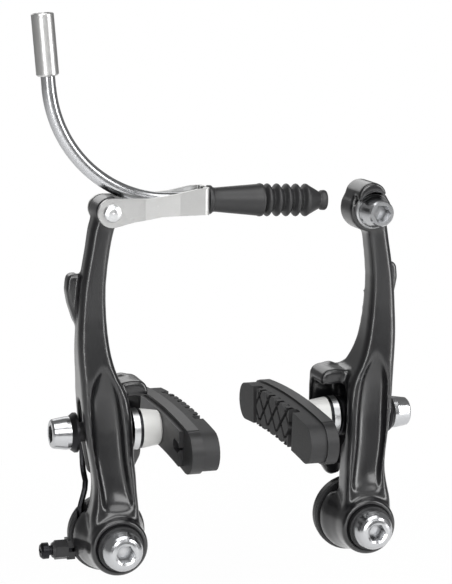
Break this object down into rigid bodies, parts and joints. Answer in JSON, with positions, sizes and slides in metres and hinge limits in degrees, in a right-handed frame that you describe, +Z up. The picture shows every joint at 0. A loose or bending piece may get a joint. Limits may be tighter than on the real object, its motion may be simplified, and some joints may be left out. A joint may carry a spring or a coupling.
{
  "type": "linear-pull bicycle rim brake",
  "caption": "Black linear-pull bicycle rim brake: forged arms with pads, a curved cable guide, its stirrup and a rubber boot.",
  "frame": {"origin": "midway between the two pivot axes, on the plane where the bushings meet the frame's bosses", "axes": "+X across the wheel, with the stirrup on the -X arm; +Y from the front of the brake back to the fork; +Z up"},
  "size_m": [0.1212, 0.07, 0.1698],
  "materials": {
    "forged_black": "glossy",
    "steel": "satin",
    "chrome": "polished",
    "black_plastic": "matte",
    "white_plastic": "glossy",
    "pad_rubber": "matte",
    "boot_rubber": "satin",
    "dark_steel": "satin"
  },
  "bodies": {
    "root": {"left_bushing": "steel", "right_bushing": "steel", "left_pivot_bolt": "chrome", "right_pivot_bolt": "chrome", "left_seal_washer": "black_plastic", "right_seal_washer": "black_plastic", "left_spring_holder": "black_plastic", "right_spring_holder": "black_plastic", "left_spring": "steel", "right_spring": "steel"},
    "tension_screw_body": {"tension_screw": "dark_steel"},
    "left_arm_body": {"left_arm": "forged_black", "link_rivet": "steel"},
    "right_arm_body": {"right_arm": "forged_black", "clamp_bolt": "chrome", "clamp_washer": "steel"},
    "link_body": {"stirrup": "steel"},
    "guide_body": {"guide_tube": "chrome", "guide_ferrule": "chrome", "guide_liner": "white_plastic", "cable_boot": "boot_rubber"},
    "left_seat_body": {"left_inner_cup": "dark_steel", "left_outer_cup": "dark_steel"},
    "left_pad_body": {"left_pad_block": "pad_rubber", "left_pad_holder": "black_plastic", "left_spacer": "white_plastic", "left_thin_washer": "dark_steel", "left_flat_washer": "steel", "left_stud_nut": "chrome"},
    "right_seat_body": {"right_inner_cup": "dark_steel", "right_outer_cup": "dark_steel"},
    "right_pad_body": {"right_pad_block": "pad_rubber", "right_pad_holder": "black_plastic", "right_spacer": "white_plastic", "right_thin_washer": "dark_steel", "right_flat_washer": "steel", "right_stud_nut": "chrome"}
  },
  "joints": [
    {"name": "left_arm_pivot", "type": "hinge", "parent": "root", "child": "left_arm_body", "pos_m": [-0.04, -0.01, 0], "axis": [0, 1, 0], "range_deg": [-25, 8], "stiffness_Nm_per_rad": 1.2, "deforming": ["left_spring", "cable_boot"]},
    {"name": "left_pad_slide", "type": "slide", "parent": "left_arm_body", "child": "left_seat_body", "axis": [0, 0, 1], "range_m": [-0.003, 0.003]},
    {"name": "left_pad_turn", "type": "hinge", "parent": "left_seat_body", "child": "left_pad_body", "pos_m": [-0.03, -0.005, 0.0325], "axis": [-1, 0, 0], "range_deg": [-12, 12]},
    {"name": "right_arm_pivot", "type": "hinge", "parent": "root", "child": "right_arm_body", "pos_m": [0.04, -0.01, 0], "axis": [0, -1, 0], "range_deg": [-25, 8], "stiffness_Nm_per_rad": 1.2, "deforming": ["right_spring", "cable_boot"]},
    {"name": "right_pad_slide", "type": "slide", "parent": "right_arm_body", "child": "right_seat_body", "axis": [0, 0, 1], "range_m": [-0.003, 0.003]},
    {"name": "right_pad_turn", "type": "hinge", "parent": "right_seat_body", "child": "right_pad_body", "pos_m": [0.03, -0.005, 0.0325], "axis": [1, 0, 0], "range_deg": [-12, 12]},
    {"name": "link_pivot", "type": "hinge", "parent": "left_arm_body", "child": "link_body", "pos_m": [-0.041, -0.0075, 0.1], "axis": [0, 1, 0], "range_deg": [-20, 20]},
    {"name": "guide_swivel", "type": "hinge", "parent": "link_body", "child": "guide_body", "pos_m": [-0.0118, -0.0075, 0.10241], "axis": [0.9995, 0, -0.0314], "range_deg": [-14, 14]},
    {"name": "tension_screw_turn", "type": "hinge", "parent": "root", "child": "tension_screw_body", "pos_m": [-0.055, -0.003, -0.0045], "axis": [-1, 0, 0], "range_deg": [-720, 720]}
  ]
}
